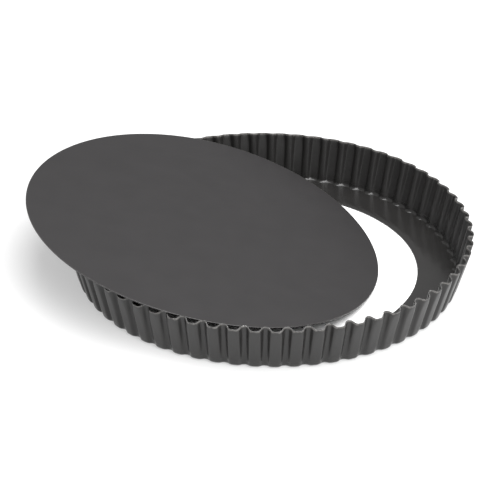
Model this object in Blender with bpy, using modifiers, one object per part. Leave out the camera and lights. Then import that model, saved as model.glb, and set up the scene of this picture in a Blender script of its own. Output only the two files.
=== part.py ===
"""Fluted tart pan with a loose bottom.

The pan is two stampings. The ring is one pressed sheet: a fluted wall that flares
outward, a small bend at its foot, and a flat ledge around a large round hole. The
loose bottom is a disc that normally lies on the ledge. Here it has been lifted out and
left propped up: its low edge is down inside the ring, on the table, and its underside
leans on the rim, so that it hangs out over one side. Its thin sheet sags a little
towards both ends.

The whole object stands on z = 0, with its bounding box centred on the Z axis. The
bottom leans up towards -X. Lengths are in metres.
"""

import math

import bmesh
import bpy
from mathutils import Matrix, Vector

# The sheet that both stampings are cut from.
SHEET = 0.0006
TOUCH_GAP = 0.0003

# The ring. Radii are to the outside of the sheet, at the outermost line of a flute.
FLUTES = 64
RIM_RADIUS = 0.1440
WALL_HEIGHT = 0.0333
FOOT_RADIUS = 0.1352
HOLE_RADIUS = 0.1064
BEND_RADIUS = 0.0022
FLUTE_DEPTH_AT_RIM = 0.0039
FLUTE_DEPTH_AT_FOOT = 0.0019
RIDGE_RISE = 0.0015
FIRST_FLUTE_ANGLE = math.radians(97.65)

# The shape of one flute: a wide outward lobe between narrower inward ridges.
LOBE_SHARPNESS = 1.9
LOBE_SHARE = -0.30
COLUMNS_PER_FLUTE = 8
COLUMN_CROWDING = math.radians(13.0)

# The loose bottom, and how it leans on the ring. Its place is its centre's, from the
# ring's. The sag is from the middle of the sheet to its high and low ends.
BOTTOM_RADIUS = 0.1273
BOTTOM_EDGE_BREAK = 0.00015
BOTTOM_ROWS = 8
BOTTOM_STEPS = 144
BOTTOM_PLACE = (-0.0453, 0.0, 0.0302)
LOW_SIDE_ANGLE = math.radians(-2.0)
LEAN = math.radians(12.65)
SAG = 0.0036
SAG_ANGLE = math.radians(6.8)

# Finishes: a dark non-stick coating on both pieces.
RING_COLOUR = (0.062, 0.060, 0.058)
BOTTOM_COLOUR = (0.072, 0.069, 0.070)
RING_ROUGHNESS = 0.42
BOTTOM_ROUGHNESS = 0.55
COATING_METALLIC = 0.35


def clear_scene():
    """Remove every object that the file already holds."""
    for obj in list(bpy.data.objects):
        bpy.data.objects.remove(obj, do_unlink=True)


def make_material(name, colour, roughness):
    """Return a coated-metal material."""
    material = bpy.data.materials.new(name)
    material.use_nodes = True
    shader = material.node_tree.nodes["Principled BSDF"]
    shader.inputs["Base Color"].default_value = (*colour, 1.0)
    shader.inputs["Roughness"].default_value = roughness
    shader.inputs["Metallic"].default_value = COATING_METALLIC
    material.diffuse_color = (*colour, 1.0)
    return material


def make_profile(name, points, collection):
    """Return an object whose mesh is an open line through (radius, height) points."""
    mesh = bpy.data.meshes.new(name)
    shape = bmesh.new()
    verts = [shape.verts.new((radius, 0.0, height)) for radius, height in points]
    for first, second in zip(verts, verts[1:]):
        shape.edges.new((first, second))
    shape.to_mesh(mesh)
    shape.free()
    obj = bpy.data.objects.new(name, mesh)
    collection.objects.link(obj)
    return obj


def turn(obj, steps):
    """Turn the object's profile once around Z."""
    screw = obj.modifiers.new("Turn", "SCREW")
    screw.axis = "Z"
    screw.angle = math.tau
    screw.steps = steps
    screw.render_steps = steps
    screw.use_merge_vertices = True
    screw.merge_threshold = 0.00001


def apply_modifiers(obj):
    """Replace the object's mesh with its evaluated mesh."""
    evaluated = obj.evaluated_get(bpy.context.evaluated_depsgraph_get())
    mesh = bpy.data.meshes.new_from_object(evaluated)
    obj.modifiers.clear()
    obj.data = mesh


def flute_recess(phase):
    """Return 0 on the outermost line of a flute and 1 on the innermost line."""
    outer = math.tanh(LOBE_SHARPNESS * (1.0 - LOBE_SHARE))
    inner = math.tanh(LOBE_SHARPNESS * (1.0 + LOBE_SHARE))
    here = math.tanh(LOBE_SHARPNESS * (math.cos(phase) - LOBE_SHARE))
    return (outer - here) / (outer + inner)


def flute_depth(height):
    """Return how far the flutes reach inward at a height on the wall."""
    share = min(max(height / WALL_HEIGHT, 0.0), 1.0)
    return FLUTE_DEPTH_AT_FOOT + share * (FLUTE_DEPTH_AT_RIM - FLUTE_DEPTH_AT_FOOT)


def ring_profile():
    """Return the ring's outer line, from the rim down the wall and in to the hole."""
    flare = math.atan2(RIM_RADIUS - FOOT_RADIUS, WALL_HEIGHT)
    turned = math.pi / 2.0 - flare
    centre = Vector((FOOT_RADIUS - BEND_RADIUS * math.tan(turned / 2.0), BEND_RADIUS))
    points = [(RIM_RADIUS, WALL_HEIGHT)]
    for share in (0.0, 0.5, 1.0):
        angle = -flare + share * (flare - math.pi / 2.0)
        points.append((
            centre.x + BEND_RADIUS * math.cos(angle),
            centre.y + BEND_RADIUS * math.sin(angle),
        ))
    points.append((HOLE_RADIUS, 0.0))
    return points


def press_flutes(mesh):
    """Move the turned wall's points inward between the flutes' outer lines."""
    for vert in mesh.vertices:
        radius = math.hypot(vert.co.x, vert.co.y)
        phase = FLUTES * math.atan2(vert.co.y, vert.co.x)
        phase += COLUMN_CROWDING * math.sin(phase)
        angle = FIRST_FLUTE_ANGLE + phase / FLUTES
        at_hole = radius < HOLE_RADIUS + TOUCH_GAP
        recess = 0.0 if at_hole else flute_recess(phase)
        share = vert.co.z / WALL_HEIGHT
        radius -= recess * flute_depth(vert.co.z)
        vert.co.x = radius * math.cos(angle)
        vert.co.y = radius * math.sin(angle)
        vert.co.z += recess * RIDGE_RISE * share


def make_ring(collection):
    """Make the pressed ring: fluted wall, bend, and ledge around the hole."""
    ring = make_profile("fluted_ring", ring_profile(), collection)
    turn(ring, FLUTES * COLUMNS_PER_FLUTE)
    apply_modifiers(ring)
    press_flutes(ring.data)
    ring.data.materials.append(make_material("ring_coating", RING_COLOUR, RING_ROUGHNESS))
    wall = ring.modifiers.new("Sheet", "SOLIDIFY")
    wall.thickness = SHEET
    wall.offset = -1.0
    wall.use_even_offset = True
    apply_modifiers(ring)
    ring.data.shade_smooth()
    return ring


def bottom_profile():
    """Return the bottom's section: top face, broken edge, and under face."""
    half = SHEET / 2.0
    edge = BOTTOM_RADIUS - BOTTOM_EDGE_BREAK
    shoulder = half - BOTTOM_EDGE_BREAK
    radii = [edge * row / BOTTOM_ROWS for row in range(BOTTOM_ROWS)]
    radii += [edge - 0.002, edge]
    top = [(radius, half) for radius in radii]
    under = [(radius, -half) for radius in reversed(radii)]
    return top + [(BOTTOM_RADIUS, shoulder), (BOTTOM_RADIUS, -shoulder)] + under


def let_sag(mesh):
    """Bend the flat bottom so that its high and low ends hang below its middle."""
    for vert in mesh.vertices:
        along = vert.co.x * math.cos(SAG_ANGLE) + vert.co.y * math.sin(SAG_ANGLE)
        vert.co.z += SAG * (0.5 - (along / BOTTOM_RADIUS) ** 2)


def make_bottom(collection):
    """Make the loose bottom: a thin disc with its cut edge broken."""
    bottom = make_profile("loose_bottom", bottom_profile(), collection)
    turn(bottom, BOTTOM_STEPS)
    apply_modifiers(bottom)
    let_sag(bottom.data)
    bottom.data.materials.append(
        make_material("bottom_coating", BOTTOM_COLOUR, BOTTOM_ROUGHNESS)
    )
    bottom.data.shade_smooth()
    return bottom


def prop_up(bottom):
    """Lean the bottom on the rim, with its low edge just clear of the table."""
    bottom.location = BOTTOM_PLACE
    to_low_side = Matrix.Rotation(LOW_SIDE_ANGLE, 4, "Z")
    bottom.rotation_euler = (to_low_side @ Matrix.Rotation(LEAN, 4, "Y")).to_euler()


def world_corners(obj):
    """Return the lowest and highest corners of the object's points in the world."""
    points = [obj.matrix_world @ vert.co for vert in obj.data.vertices]
    low = Vector([min(point[axis] for point in points) for axis in range(3)])
    high = Vector([max(point[axis] for point in points) for axis in range(3)])
    return low, high


def centre_box(pieces):
    """Slide the pieces together so that their box is centred on the Z axis."""
    bpy.context.view_layer.update()
    corners = [world_corners(piece) for piece in pieces]
    for axis in (0, 1):
        low = min(corner[0][axis] for corner in corners)
        high = max(corner[1][axis] for corner in corners)
        for piece in pieces:
            piece.location[axis] -= (low + high) / 2.0
    bpy.context.view_layer.update()


def main():
    """Build the pan with its bottom propped on the rim."""
    clear_scene()
    collection = bpy.data.collections.new("tart_pan")
    bpy.context.scene.collection.children.link(collection)
    ring = make_ring(collection)
    bottom = make_bottom(collection)
    prop_up(bottom)
    centre_box([ring, bottom])


main()
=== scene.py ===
"""Fluted tart pan with a loose bottom.

The pan is two stampings of thin coated steel: a fluted ring with a ledge inside its
foot, and a round bottom that leans on the ring's rim. Each has one operator, and so
has the studio around them. Lengths are in metres.
"""

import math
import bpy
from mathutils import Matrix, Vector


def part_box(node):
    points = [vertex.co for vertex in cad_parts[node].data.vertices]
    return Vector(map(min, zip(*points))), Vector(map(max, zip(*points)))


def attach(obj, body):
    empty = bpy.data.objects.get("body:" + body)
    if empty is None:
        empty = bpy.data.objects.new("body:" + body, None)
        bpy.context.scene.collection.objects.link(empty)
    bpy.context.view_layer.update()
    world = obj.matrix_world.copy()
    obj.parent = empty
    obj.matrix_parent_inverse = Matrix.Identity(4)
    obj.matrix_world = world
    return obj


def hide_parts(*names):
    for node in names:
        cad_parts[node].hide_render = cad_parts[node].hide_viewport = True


bl_info = {
    "name": "Fluted Tart Pan",
    "version": (1, 0, 0),
    "blender": (4, 5, 0),
    "location": "3D View > Sidebar > Tart Pan",
    "description": "Models a fluted tart pan and its loose bottom, in a small studio",
    "category": "Add Mesh",
}

import bpy
import numpy as np
from mathutils import Matrix, Vector

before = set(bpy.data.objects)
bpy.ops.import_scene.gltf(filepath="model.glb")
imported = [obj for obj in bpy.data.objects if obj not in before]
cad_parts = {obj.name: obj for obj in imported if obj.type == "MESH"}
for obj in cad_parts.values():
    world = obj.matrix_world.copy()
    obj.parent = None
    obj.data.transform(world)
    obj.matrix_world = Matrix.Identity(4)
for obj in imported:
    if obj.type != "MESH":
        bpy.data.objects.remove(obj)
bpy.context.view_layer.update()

# How wide a band beside each cut edge is worn.
RIM_WEAR_BAND = 0.0007
BOTTOM_WEAR_BAND = 0.0005

# The colour of the coating where it has been rubbed thin.
WORN_COAT = (0.22, 0.21, 0.20, 1.0)

# The heights between which the ring's surface turns from ledge to drawn wall.
DRAWN_FROM = 0.002
DRAWN_TO = 0.007

# Edges that turn by less than the first angle are shaded smooth. Those that turn by
# more than the second are the sheet's cut edges, and are rounded.
SMOOTH_ANGLE = math.radians(50.0)
CUT_EDGE_ANGLE = math.radians(60.0)


# ---------------------------------------------------------------- the frame


def read_points(mesh):
    """Return the mesh's points as an array."""
    points = np.empty(len(mesh.vertices) * 3)
    mesh.vertices.foreach_get("co", points)
    return points.reshape(-1, 3)


def node_points(name):
    """Return the corner points of a CAD node as an array, each one once."""
    return np.unique(read_points(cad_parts[name].data).round(6), axis=0)


def ring_place():
    """Return the ring's centre, its rim radius and the angle of a flute's outer line."""
    low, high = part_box("fluted_ring")
    centre = Vector(((low.x + high.x) / 2.0, (low.y + high.y) / 2.0, low.z))
    outward = node_points("fluted_ring")[:, :2] - np.array(centre.xy)
    reach = np.hypot(outward[:, 0], outward[:, 1])
    furthest = outward[reach.argmax()]
    return centre, float(reach.max()), math.atan2(furthest[1], furthest[0])


def bottom_place(rim_band=0.0012):
    """Return the loose bottom's centre, radius, turn out of the level, and sag.

    The sag is how far the bottom's ends hang below its middle, with the angle of the
    line through them. Both are read from the points within a narrow band at the rim,
    which rises and falls twice a turn by half the sag.
    """
    low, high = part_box("loose_bottom")
    points = node_points("loose_bottom")
    reach = np.linalg.norm(points - np.array((low + high) / 2.0), axis=1)
    rim = points[reach > reach.max() - rim_band]
    centre = rim.mean(axis=0)
    normal = Vector(np.linalg.svd(rim - centre, full_matrices=False)[2][2])
    if normal.z < 0.0:
        normal.negate()
    turn = Vector((0.0, 0.0, 1.0)).rotation_difference(normal)
    across, along, height = ((rim - centre) @ np.array(turn.to_matrix())).T
    wave = -4.0 * np.mean(height * np.exp(2j * np.arctan2(along, across)))
    radius = float(np.hypot(across, along).max())
    return Vector(centre), radius, turn, float(abs(wave)), float(np.angle(wave)) / 2.0


RING_CENTRE, RIM_RADIUS, FIRST_FLUTE = ring_place()
BOTTOM_CENTRE, BOTTOM_RADIUS, BOTTOM_TURN, BOTTOM_SAG, SAG_ANGLE = bottom_place()


# ---------------------------------------------------------------- settings


class TartPanSizes(bpy.types.PropertyGroup):
    """Sizes of the two stampings"""

    flutes: bpy.props.IntProperty(
        name="Flutes", description="Number of flutes round the wall", default=64, min=8
    )
    columns: bpy.props.IntProperty(
        name="Columns", description="Columns of faces in one flute", default=24, min=8
    )
    sheet: bpy.props.FloatProperty(
        name="Sheet", description="Thickness of the steel sheet",
        default=0.0006, unit="LENGTH",
    )
    wall_height: bpy.props.FloatProperty(
        name="Wall Height", description="Height of the rim at a flute's outer line",
        default=0.0333, unit="LENGTH",
    )
    foot_radius: bpy.props.FloatProperty(
        name="Foot Radius", description="Radius at which wall and ledge would meet",
        default=0.1352, unit="LENGTH",
    )
    hole_radius: bpy.props.FloatProperty(
        name="Hole Radius", description="Radius of the hole inside the ledge",
        default=0.1064, unit="LENGTH",
    )
    bend_radius: bpy.props.FloatProperty(
        name="Bend Radius", description="Outer radius of the bend at the wall's foot",
        default=0.0032, unit="LENGTH",
    )
    rim_depth: bpy.props.FloatProperty(
        name="Depth at Rim", description="Depth of the flutes at the rim",
        default=0.0039, unit="LENGTH",
    )
    foot_depth: bpy.props.FloatProperty(
        name="Depth at Foot", description="Depth of the flutes at the foot",
        default=0.0018, unit="LENGTH",
    )
    ridge_rise: bpy.props.FloatProperty(
        name="Ridge Rise", description="Extra height of the rim at the inward ridges",
        default=0.0015, unit="LENGTH",
    )
    sharpness: bpy.props.FloatVectorProperty(
        name="Sharpness", size=3, default=(1.4, 2.7, 1.35),
        description="How quickly a flute turns from lobe to ridge, at foot, middle and rim",
    )
    flank: bpy.props.FloatVectorProperty(
        name="Flank", size=3, default=(-0.38, -0.50, -0.36),
        description="Where the flanks lie, at foot, middle and rim: lower makes wider lobes",
    )
    bottom_steps: bpy.props.IntProperty(
        name="Bottom Steps", description="Straight edges round the loose bottom",
        default=256, min=32,
    )
    edge_round: bpy.props.FloatProperty(
        name="Edge Rounding", description="Rounding of the cut edges",
        default=0.00012, unit="LENGTH",
    )


class TartPanFinishes(bpy.types.PropertyGroup):
    """Colours and gloss of the coatings, the bare cut edge and the floor"""

    ring_coat: bpy.props.FloatVectorProperty(
        name="Ring Coating", description="Colour of the coating on the ring",
        subtype="COLOR", size=3, min=0.0, max=1.0, default=(0.0156, 0.0150, 0.0146),
    )
    bottom_coat: bpy.props.FloatVectorProperty(
        name="Bottom Coating", description="Colour of the coating on the loose bottom",
        subtype="COLOR", size=3, min=0.0, max=1.0, default=(0.0128, 0.0116, 0.0122),
    )
    ledge_roughness: bpy.props.FloatProperty(
        name="Ledge Roughness", description="Roughness of the coating on the flat ledge",
        subtype="FACTOR", default=0.18, min=0.0, max=1.0,
    )
    wall_roughness: bpy.props.FloatProperty(
        name="Wall Roughness", description="Roughness of the coating on the drawn wall",
        subtype="FACTOR", default=0.39, min=0.0, max=1.0,
    )
    bottom_roughness: bpy.props.FloatProperty(
        name="Bottom Roughness", description="Roughness of the coating on the bottom",
        subtype="FACTOR", default=0.45, min=0.0, max=1.0,
    )
    bare_steel: bpy.props.FloatVectorProperty(
        name="Bare Steel", description="Colour of the cut edge where the coat is gone",
        subtype="COLOR", size=3, min=0.0, max=1.0, default=(0.42, 0.41, 0.40),
    )
    floor: bpy.props.FloatVectorProperty(
        name="Floor", description="Colour of the studio floor",
        subtype="COLOR", size=3, min=0.0, max=1.0, default=(0.80, 0.80, 0.80),
    )
    floor_glow: bpy.props.FloatProperty(
        name="Floor Glow", description="Brightness of the light that the floor gives out",
        default=0.42, min=0.0,
    )


class TartPanStudio(bpy.types.PropertyGroup):
    """Camera and lights"""

    elevation: bpy.props.FloatProperty(
        name="Elevation", description="Height of the camera above the horizon",
        default=math.radians(29.75), subtype="ANGLE",
    )
    roll: bpy.props.FloatProperty(
        name="Roll", description="Turn of the camera about its own axis",
        default=math.radians(1.19), subtype="ANGLE",
    )
    distance: bpy.props.FloatProperty(
        name="Distance", description="Distance from the camera to what it aims at",
        default=1.397, unit="LENGTH",
    )
    aim_across: bpy.props.FloatProperty(
        name="Aim Across", description="How far right of the ring's centre it aims",
        default=-0.01305, unit="LENGTH",
    )
    aim_height: bpy.props.FloatProperty(
        name="Aim Height", description="Height that the camera aims at",
        default=0.0115, unit="LENGTH",
    )
    lens: bpy.props.FloatProperty(
        name="Lens", description="Focal length in millimetres", default=141.66
    )
    surround: bpy.props.FloatProperty(
        name="Surround", description="Brightness of the even light from all round",
        default=0.45, min=0.0,
    )
    overhead_place: bpy.props.FloatVectorProperty(
        name="Overhead Light", description="Place of the light over the pan",
        subtype="TRANSLATION", size=3, default=(0.38, 0.0, 1.5),
    )
    overhead_width: bpy.props.FloatProperty(
        name="Overhead Width", description="Width of the light over the pan",
        default=1.6, unit="LENGTH",
    )
    overhead_power: bpy.props.FloatProperty(
        name="Overhead Power", description="Power of the light over the pan, in watts",
        default=42.0, min=0.0,
    )
    front_place: bpy.props.FloatVectorProperty(
        name="Front Light", description="Place of the light in front of the pan",
        subtype="TRANSLATION", size=3, default=(0.6, -1.45, 1.5),
    )
    front_width: bpy.props.FloatProperty(
        name="Front Width", description="Width of the light in front of the pan",
        default=1.4, unit="LENGTH",
    )
    front_power: bpy.props.FloatProperty(
        name="Front Power", description="Power of the light in front, in watts",
        default=38.0, min=0.0,
    )
    floor_width: bpy.props.FloatProperty(
        name="Floor Width", description="Width of the studio floor",
        default=8.0, unit="LENGTH",
    )
    floor_drop: bpy.props.FloatProperty(
        name="Floor Drop", description="How far the floor lies under the ring's foot",
        default=0.0002, unit="LENGTH",
    )


# ---------------------------------------------------------------- modelling aids


def deselect():
    """Leave nothing selected."""
    bpy.ops.object.select_all(action="DESELECT")


def finish_modifiers(piece):
    """Apply the piece's modifiers in order."""
    bpy.context.view_layer.objects.active = piece
    for modifier in list(piece.modifiers):
        bpy.ops.object.modifier_apply(modifier=modifier.name)


def place_in_mesh(piece):
    """Move the piece's place, turn and scale into its mesh."""
    deselect()
    piece.select_set(True)
    bpy.context.view_layer.objects.active = piece
    bpy.ops.object.transform_apply(location=True, rotation=True, scale=True)


def write_points(mesh, points):
    """Put an array of points back into the mesh."""
    mesh.vertices.foreach_set("co", points.ravel())
    mesh.update()


def add_number(mesh, name, values):
    """Store one number for each point of the mesh, for its material to read."""
    layer = mesh.attributes.new(name, "FLOAT", "POINT")
    layer.data.foreach_set("value", np.asarray(values, np.float32))


def shade_smooth(piece):
    """Shade the piece smooth, but for its sharp edges."""
    deselect()
    piece.select_set(True)
    bpy.context.view_layer.objects.active = piece
    bpy.ops.object.shade_smooth_by_angle(angle=SMOOTH_ANGLE)


# ---------------------------------------------------------------- the stampings


def clear_radius(sizes):
    """Return the radius inside which the ledge is flat and has no flutes."""
    return sizes.foot_radius - 2.0 * sizes.bend_radius


def flute_recess(phase, height, sizes):
    """Return 0 on a flute's outer line and 1 on its inner line.

    The lobes are round at the rim and at the foot. Between, they are flatter, with
    steeper flanks. The stations are the shares of the wall's height where the foot's
    shape ends, the middle's starts and ends, and the rim's starts.
    """
    stations = np.array((0.06, 0.22, 0.82, 1.0)) * sizes.wall_height
    foot, middle, rim = sizes.sharpness
    sharp = np.interp(height, stations, (foot, middle, middle, rim))
    foot, middle, rim = sizes.flank
    share = np.interp(height, stations, (foot, middle, middle, rim))
    outer = np.tanh(sharp * (1.0 - share))
    inner = np.tanh(sharp * (1.0 + share))
    return (outer - np.tanh(sharp * (np.cos(phase) - share))) / (outer + inner)


def ring_profile(sizes, wall_rows=10, bend_rows=7, ledge_rows=4):
    """Return (radius, height) down the ring's outer side, from the rim to the hole."""
    flare = math.atan2(RIM_RADIUS - sizes.foot_radius, sizes.wall_height)
    bend = sizes.bend_radius
    middle = sizes.foot_radius - bend * math.tan((math.pi / 2.0 - flare) / 2.0)
    arc = []
    for row in range(bend_rows + 1):
        angle = -flare + row / bend_rows * (flare - math.pi / 2.0)
        arc.append((middle + bend * math.cos(angle), bend + bend * math.sin(angle)))
    top = Vector((RIM_RADIUS, sizes.wall_height))
    wall = [tuple(top.lerp(Vector(arc[0]), row / wall_rows)) for row in range(wall_rows)]
    start = Vector(arc[-1])
    hole = Vector((sizes.hole_radius, 0.0))
    ledge = [tuple(start.lerp(hole, (row + 1) / ledge_rows)) for row in range(ledge_rows)]
    return wall + arc + ledge


def turn_profile(name, profile, centre, steps, closed=False):
    """Return a turned sheet: a circle, extruded row by row along (radius, height)."""
    deselect()
    radius, height = profile[0]
    bpy.ops.mesh.primitive_circle_add(
        vertices=steps, radius=radius, location=centre + Vector((0.0, 0.0, height))
    )
    piece = bpy.context.object
    piece.name = name
    piece.data.name = name
    bpy.ops.object.mode_set(mode="EDIT")
    bpy.ops.mesh.select_all(action="SELECT")
    for next_radius, next_height in profile[1:]:
        drop = next_height - height
        bpy.ops.mesh.extrude_region_move(TRANSFORM_OT_translate={"value": (0.0, 0.0, drop)})
        share = next_radius / radius
        bpy.ops.transform.resize(value=(share, share, 1.0), center_override=centre)
        radius, height = next_radius, next_height
    if closed:
        bpy.ops.mesh.edge_face_add()
    bpy.ops.object.mode_set(mode="OBJECT")
    place_in_mesh(piece)
    return piece


def crowd(phase, flank=1.98, width=0.45, extra=3.0):
    """Bring the columns of faces closer together on the steep flanks of the flutes.

    The flanks lie at the flank's phase on either side of a flute's outer line.
    """
    turn = np.floor(phase / math.tau + 0.5)
    spread = np.linspace(-math.pi, math.pi, 2001)
    crowding = 1.0 + extra * np.exp(-(((np.abs(spread) - flank) / width) ** 2))
    reach = np.cumsum(crowding)
    reach = math.tau * (reach - reach[0]) / (reach[-1] - reach[0]) - math.pi
    return math.tau * turn + np.interp(phase - math.tau * turn, reach, spread)


def unevenness(index):
    """Return a number between -1 and 1 for each flute, in no plain pattern."""
    return np.sin(index * 2.399 + 0.4) * np.cos(index * 0.713 + 0.8)


def press_flutes(mesh, sizes, uneven=0.03):
    """Move the turned wall's points inward between the flutes' outer lines.

    The flutes' depths differ by the uneven share. The ledge stays round.
    """
    points = read_points(mesh)
    across = points[:, :2] - np.array(RING_CENTRE.xy)
    radius = np.hypot(across[:, 0], across[:, 1])
    angle = np.arctan2(across[:, 1], across[:, 0])
    phase = crowd(sizes.flutes * (angle - FIRST_FLUTE))
    angle = FIRST_FLUTE + phase / sizes.flutes
    index = np.round(phase / math.tau)
    recess = flute_recess(phase, points[:, 2], sizes)
    share = np.clip(points[:, 2] / sizes.wall_height, 0.0, 1.0)
    depth = sizes.foot_depth + share * (sizes.rim_depth - sizes.foot_depth)
    depth *= 1.0 + uneven * unevenness(index)
    depth[radius < clear_radius(sizes)] = 0.0
    radius -= recess * depth
    points[:, 0] = RING_CENTRE.x + radius * np.cos(angle)
    points[:, 1] = RING_CENTRE.y + radius * np.sin(angle)
    points[:, 2] += recess * share * sizes.ridge_rise
    write_points(mesh, points)


def bottom_profile(edge_row=0.0008, second_row=0.0045, middle=0.004, rows=16):
    """Return (radius, height) from the bottom's edge in to its middle, all level.

    The rows of faces are narrow at the edge and then even.
    """
    inner = BOTTOM_RADIUS - edge_row
    evenly = np.linspace(inner - second_row, middle, rows)
    return [(radius, 0.0) for radius in (BOTTOM_RADIUS, inner, *evenly)]


def let_sag(mesh):
    """Bend the flat bottom so that its two ends hang below its middle."""
    points = read_points(mesh)
    along = points[:, 0] * math.cos(SAG_ANGLE) + points[:, 1] * math.sin(SAG_ANGLE)
    points[:, 2] += BOTTOM_SAG * (0.5 - (along / BOTTOM_RADIUS) ** 2)
    write_points(mesh, points)


def face_towards(piece, direction):
    """Turn the sheet's faces over if the first one doesn't look in the direction."""
    if piece.data.polygons[0].normal.dot(direction) > 0.0:
        return
    bpy.ops.object.mode_set(mode="EDIT")
    bpy.ops.mesh.select_all(action="SELECT")
    bpy.ops.mesh.flip_normals()
    bpy.ops.object.mode_set(mode="OBJECT")


def give_thickness(piece, sizes, side):
    """Thicken the sheet and round its cut edges. Side -1 keeps its faces in place."""
    sheet = piece.modifiers.new("Sheet", "SOLIDIFY")
    sheet.thickness = sizes.sheet
    sheet.offset = side
    sheet.use_even_offset = True
    sheet.material_offset_rim = 1
    edges = piece.modifiers.new("Cut Edges", "BEVEL")
    edges.width = sizes.edge_round
    edges.segments = 2
    edges.limit_method = "ANGLE"
    edges.angle_limit = CUT_EDGE_ANGLE
    edges.material = 1
    finish_modifiers(piece)


# ---------------------------------------------------------------- materials


class Socket:
    """A node's output. Arithmetic on one that gives numbers adds Math nodes."""

    def __init__(self, tree, socket):
        self.tree = tree
        self.socket = socket

    def _with(self, operation, other, swapped=False):
        first, second = (other, self) if swapped else (self, other)
        return self.tree.node("ShaderNodeMath", {"operation": operation}, {0: first, 1: second})

    def __add__(self, other):
        return self._with("ADD", other)

    def __radd__(self, other):
        return self._with("ADD", other)

    def __sub__(self, other):
        return self._with("SUBTRACT", other)

    def __rsub__(self, other):
        return self._with("SUBTRACT", other, swapped=True)

    def __mul__(self, other):
        return self._with("MULTIPLY", other)

    def __rmul__(self, other):
        return self._with("MULTIPLY", other)


class MaterialTree:
    """A material's node tree, built from values and links."""

    def __init__(self, name):
        self.material = bpy.data.materials.new(name)
        self.material.use_nodes = True
        self.nodes = self.material.node_tree.nodes
        self.links = self.material.node_tree.links
        self.nodes.clear()

    def node(self, kind, settings=None, sockets=None, output=0):
        """Add a node: its settings first, then the values or links of its sockets."""
        node = self.nodes.new(kind)
        for name, value in (settings or {}).items():
            setattr(node, name, value)
        for name, value in (sockets or {}).items():
            if isinstance(value, Socket):
                self.links.new(value.socket, node.inputs[name])
            else:
                node.inputs[name].default_value = value
        return Socket(self, node.outputs[output])

    def place(self):
        """Return the object's own coordinates."""
        return self.node("ShaderNodeTexCoord", output="Object")

    def vector(self, operation, first, second):
        """Return what a vector operation makes of a vector and a constant one."""
        sockets = {0: first, 1: tuple(second)}
        return self.node("ShaderNodeVectorMath", {"operation": operation}, sockets)

    def noise(self, vector, scale, detail, roughness=0.5):
        """Return noise between 0 and 1, with about scale spots to the metre."""
        sockets = {"Vector": vector, "Scale": scale, "Detail": detail, "Roughness": roughness}
        return self.node("ShaderNodeTexNoise", None, sockets)

    def stretch(self, value, low, high):
        """Map low..high onto 0..1 and hold the ends."""
        sockets = {"Value": value, "From Min": low, "From Max": high}
        return self.node("ShaderNodeMapRange", {"clamp": True}, sockets)

    def mix(self, factor, first, second):
        """Mix two colours, which are sockets 6 and 7 of a Mix node."""
        sockets = {0: factor, 6: first, 7: second}
        return self.node("ShaderNodeMix", {"data_type": "RGBA"}, sockets, output=2)

    def attribute(self, name):
        """Return a number stored on the piece."""
        return self.node("ShaderNodeAttribute", {"attribute_name": name}, output="Fac")

    def surface(self, sockets):
        """End the tree in a Principled shader."""
        shader = self.node("ShaderNodeBsdfPrincipled", None, sockets)
        output = self.nodes.new("ShaderNodeOutputMaterial")
        self.links.new(shader.socket, output.inputs["Surface"])
        return self.material


def shade_of(colour, share):
    """Return the colour, lightened or darkened, with alpha."""
    return (*[min(channel * share, 1.0) for channel in colour], 1.0)


def coating(name, colour, roughness, drawn_roughness=None, streak_height=1.0):
    """Return the dark non-stick coating: fine speckle, soft mottling, faint streaks.

    It may be rougher on a wall that was drawn up from the sheet than on the flat. A
    streak height below 1 draws the streaks out upwards.
    """
    tree = MaterialTree(name)
    place = tree.place()
    mottle = tree.noise(place, 55.0, 3.0)
    speckle = tree.noise(place, 2600.0, 2.0, 0.6)
    streaks = tree.noise(tree.vector("MULTIPLY", place, (1.0, 1.0, streak_height)), 900.0, 2.0)
    tone = 0.45 * mottle + 0.35 * speckle + 0.20 * streaks
    tint = tree.mix(
        tree.stretch(tone, 0.35, 0.65), shade_of(colour, 0.90), shade_of(colour, 1.10)
    )
    rough = roughness - 0.05 + 0.06 * mottle + 0.05 * streaks
    if drawn_roughness is not None:
        drawn = tree.stretch(tree.attribute("drawn_height"), DRAWN_FROM, DRAWN_TO)
        rough = rough + (drawn_roughness - roughness) * drawn
    wear = tree.attribute("edge_wear")
    worn = tree.stretch(wear * (0.4 + 1.2 * tree.noise(place, 700.0, 3.0)), 0.55, 0.85)
    base = tree.mix(0.5 * worn, tint, WORN_COAT)
    grain = tree.node("ShaderNodeBump", None, {
        "Strength": 0.10, "Distance": 0.00006, "Height": speckle,
    })
    swell = tree.node("ShaderNodeBump", None, {
        "Strength": 0.15, "Distance": 0.0004,
        "Height": tree.noise(place, 160.0, 2.0), "Normal": grain,
    })
    return tree.surface({"Base Color": base, "Roughness": rough, "Normal": swell})


def cut_edge(name, bare, coat, cover):
    """Return the sheared edge of the sheet: a thin glossy coat, rubbed bare in spots.

    More cover leaves fewer bare spots.
    """
    tree = MaterialTree(name)
    place = tree.place()
    coated = tree.stretch(tree.noise(place, 420.0, 3.0, 0.6), 0.40 - cover, 0.50 - cover)
    base = tree.mix(coated, shade_of(bare, 1.0), shade_of(coat, 1.5))
    shear = tree.noise(tree.vector("MULTIPLY", place, (1.0, 1.0, 6.0)), 1800.0, 2.0)
    rough = 0.16 + 0.06 * coated + 0.10 * shear
    bump = tree.node("ShaderNodeBump", None, {
        "Strength": 0.25, "Distance": 0.00005, "Height": shear,
    })
    return tree.surface({
        "Base Color": base, "Roughness": rough, "Metallic": 0.8 - 0.8 * coated,
        "IOR": 1.6, "Normal": bump,
    })


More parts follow.
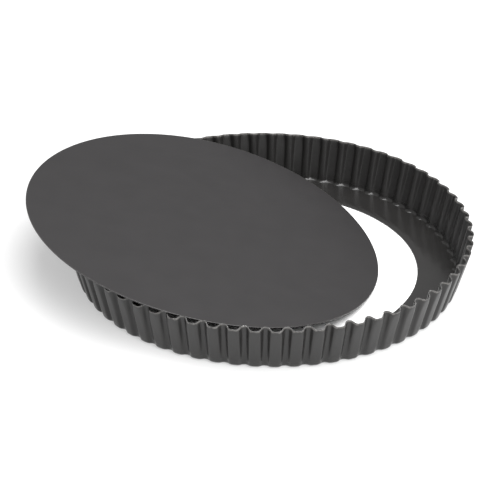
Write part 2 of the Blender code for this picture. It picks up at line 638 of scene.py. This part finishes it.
def floor_paint(colour, glow, clear, blend=0.01):
    """Return the pale matte floor. It gives out light itself, except inside the pan.

    That light keeps the pan's shadow soft and pale. Clear is the radius round the
    ring's centre inside which there is none, and the light comes in over the blend.
    """
    tree = MaterialTree("studio_floor")
    place = tree.place()
    cloud = tree.noise(place, 3.0, 2.0)
    from_ring = tree.vector("SUBTRACT", place, RING_CENTRE)
    reach = tree.node(
        "ShaderNodeVectorMath", {"operation": "LENGTH"}, {0: from_ring}, output="Value"
    )
    lit = tree.stretch(reach, clear - blend, clear)
    plain = tree.mix(cloud, shade_of(colour, 0.995), shade_of(colour, 1.005))
    base = tree.mix(lit, plain, shade_of(colour, 1.0 - glow))
    light = tree.mix(lit, (0.0, 0.0, 0.0, 1.0), (1.0, 1.0, 1.0, 1.0))
    return tree.surface({
        "Base Color": base, "Roughness": 0.9, "Specular IOR Level": 0.1,
        "Emission Color": light, "Emission Strength": glow,
    })


# ---------------------------------------------------------------- operators


class TARTPAN_OT_ring(bpy.types.Operator):
    """Model the fluted ring with its ledge"""

    bl_idname = "tartpan.ring"
    bl_label = "Fluted Ring"
    bl_options = {"REGISTER", "UNDO"}

    def execute(self, context):
        sizes = context.scene.tart_pan_sizes
        finishes = context.scene.tart_pan_finishes
        steps = sizes.flutes * sizes.columns
        ring = turn_profile("ring_fluted_shell", ring_profile(sizes), RING_CENTRE, steps)
        press_flutes(ring.data, sizes)
        face_towards(ring, ring.data.polygons[0].center - RING_CENTRE)
        ring.data.materials.append(coating(
            "ring_coating", finishes.ring_coat, finishes.ledge_roughness,
            drawn_roughness=finishes.wall_roughness, streak_height=0.05,
        ))
        ring.data.materials.append(
            cut_edge("ring_cut_edge", finishes.bare_steel, finishes.ring_coat, cover=0.1)
        )
        give_thickness(ring, sizes, -1.0)
        height = read_points(ring.data)[:, 2] - RING_CENTRE.z
        above = height - (sizes.wall_height - RIM_WEAR_BAND)
        add_number(ring.data, "edge_wear", np.clip(above / RIM_WEAR_BAND, 0.0, 1.0))
        add_number(ring.data, "drawn_height", height)
        shade_smooth(ring)
        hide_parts("fluted_ring")
        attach(ring, "ring")
        return {"FINISHED"}


class TARTPAN_OT_bottom(bpy.types.Operator):
    """Model the loose bottom where it leans on the rim"""

    bl_idname = "tartpan.bottom"
    bl_label = "Loose Bottom"
    bl_options = {"REGISTER", "UNDO"}

    def execute(self, context):
        sizes = context.scene.tart_pan_sizes
        finishes = context.scene.tart_pan_finishes
        middle = Vector((0.0, 0.0, 0.0))
        bottom = turn_profile(
            "bottom_flat_disc", bottom_profile(), middle, sizes.bottom_steps, closed=True
        )
        face_towards(bottom, Vector((0.0, 0.0, 1.0)))
        bottom.data.materials.append(
            coating("bottom_coating", finishes.bottom_coat, finishes.bottom_roughness)
        )
        bottom.data.materials.append(
            cut_edge("bottom_cut_edge", finishes.bare_steel, finishes.bottom_coat, cover=0.2)
        )
        give_thickness(bottom, sizes, 0.0)
        let_sag(bottom.data)
        bottom.rotation_mode = "QUATERNION"
        bottom.rotation_quaternion = BOTTOM_TURN
        bottom.location = BOTTOM_CENTRE
        place_in_mesh(bottom)
        reach = np.linalg.norm(read_points(bottom.data) - np.array(BOTTOM_CENTRE), axis=1)
        beyond = reach - (BOTTOM_RADIUS - BOTTOM_WEAR_BAND)
        add_number(bottom.data, "edge_wear", np.clip(beyond / BOTTOM_WEAR_BAND, 0.0, 1.0))
        shade_smooth(bottom)
        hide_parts("loose_bottom")
        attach(bottom, "bottom")
        return {"FINISHED"}


def add_soft_light(name, place, width, power):
    """Add a square soft light that faces the middle of the floor."""
    light = bpy.data.lights.new(name, "AREA")
    light.shape = "SQUARE"
    light.size = width
    light.energy = power
    lamp = bpy.data.objects.new(name, light)
    lamp.location = place
    lamp.rotation_euler = (-Vector(place)).to_track_quat("-Z", "Y").to_euler()
    bpy.context.scene.collection.objects.link(lamp)


def add_camera(studio):
    """Add the camera, above and in front of the pan."""
    tilt = studio.elevation
    back = Vector((0.0, -math.cos(tilt), math.sin(tilt)))
    aim = RING_CENTRE + Vector((studio.aim_across, 0.0, studio.aim_height))
    data = bpy.data.cameras.new("studio_camera")
    data.lens = studio.lens
    data.sensor_width = 36.0
    data.clip_start = 0.01
    camera = bpy.data.objects.new("studio_camera", data)
    camera.location = aim + back * studio.distance
    camera.rotation_mode = "QUATERNION"
    level = (-back).to_track_quat("-Z", "Y")
    camera.rotation_quaternion = level @ Matrix.Rotation(studio.roll, 3, "Z").to_quaternion()
    bpy.context.scene.collection.objects.link(camera)
    bpy.context.scene.camera = camera


def add_floor(sizes, finishes, studio):
    """Add the floor, a wide plane under the ring's foot."""
    deselect()
    bpy.ops.mesh.primitive_plane_add(
        size=studio.floor_width, location=(0.0, 0.0, RING_CENTRE.z - studio.floor_drop)
    )
    floor = bpy.context.object
    floor.name = "studio_floor"
    place_in_mesh(floor)
    floor.data.materials.append(
        floor_paint(finishes.floor, finishes.floor_glow, clear_radius(sizes))
    )


def set_world(strength):
    """Surround the studio with an even pale light."""
    world = bpy.data.worlds.new("studio_world")
    world.use_nodes = True
    background = world.node_tree.nodes["Background"]
    background.inputs["Color"].default_value = (1.0, 1.0, 1.0, 1.0)
    background.inputs["Strength"].default_value = strength
    bpy.context.scene.world = world


class TARTPAN_OT_stage(bpy.types.Operator):
    """Set the pan in a pale studio with soft light and a camera"""

    bl_idname = "tartpan.stage"
    bl_label = "Studio"
    bl_options = {"REGISTER", "UNDO"}

    def execute(self, context):
        scene = context.scene
        studio = scene.tart_pan_studio
        add_floor(scene.tart_pan_sizes, scene.tart_pan_finishes, studio)
        set_world(studio.surround)
        add_soft_light(
            "overhead_light", studio.overhead_place, studio.overhead_width, studio.overhead_power
        )
        add_soft_light("front_light", studio.front_place, studio.front_width, studio.front_power)
        add_camera(studio)
        scene.view_settings.view_transform = "Standard"
        return {"FINISHED"}


class TARTPAN_PT_build(bpy.types.Panel):
    """Lists the pan's pieces and its studio"""

    bl_idname = "TARTPAN_PT_build"
    bl_label = "Tart Pan"
    bl_space_type = "VIEW_3D"
    bl_region_type = "UI"
    bl_category = "Tart Pan"

    def draw(self, context):
        layout = self.layout
        for operator in (TARTPAN_OT_ring, TARTPAN_OT_bottom, TARTPAN_OT_stage):
            layout.operator(operator.bl_idname)
        for group in ("tart_pan_sizes", "tart_pan_finishes", "tart_pan_studio"):
            box = layout.box()
            settings = getattr(context.scene, group)
            for name in settings.__annotations__:
                box.prop(settings, name)


GROUPS = {
    "tart_pan_sizes": TartPanSizes,
    "tart_pan_finishes": TartPanFinishes,
    "tart_pan_studio": TartPanStudio,
}
CLASSES = (*GROUPS.values(), TARTPAN_OT_ring, TARTPAN_OT_bottom, TARTPAN_OT_stage, TARTPAN_PT_build)


def register():
    """Register the classes and give the scene its settings."""
    for item in CLASSES:
        bpy.utils.register_class(item)
    for name, group in GROUPS.items():
        setattr(bpy.types.Scene, name, bpy.props.PointerProperty(type=group))


def unregister():
    """Undo register."""
    for name in GROUPS:
        delattr(bpy.types.Scene, name)
    for item in reversed(CLASSES):
        bpy.utils.unregister_class(item)


def main():
    """Build the pan and its studio."""
    register()
    bpy.ops.tartpan.ring()
    bpy.ops.tartpan.bottom()
    bpy.ops.tartpan.stage()


if __name__ == "__main__":
    main()
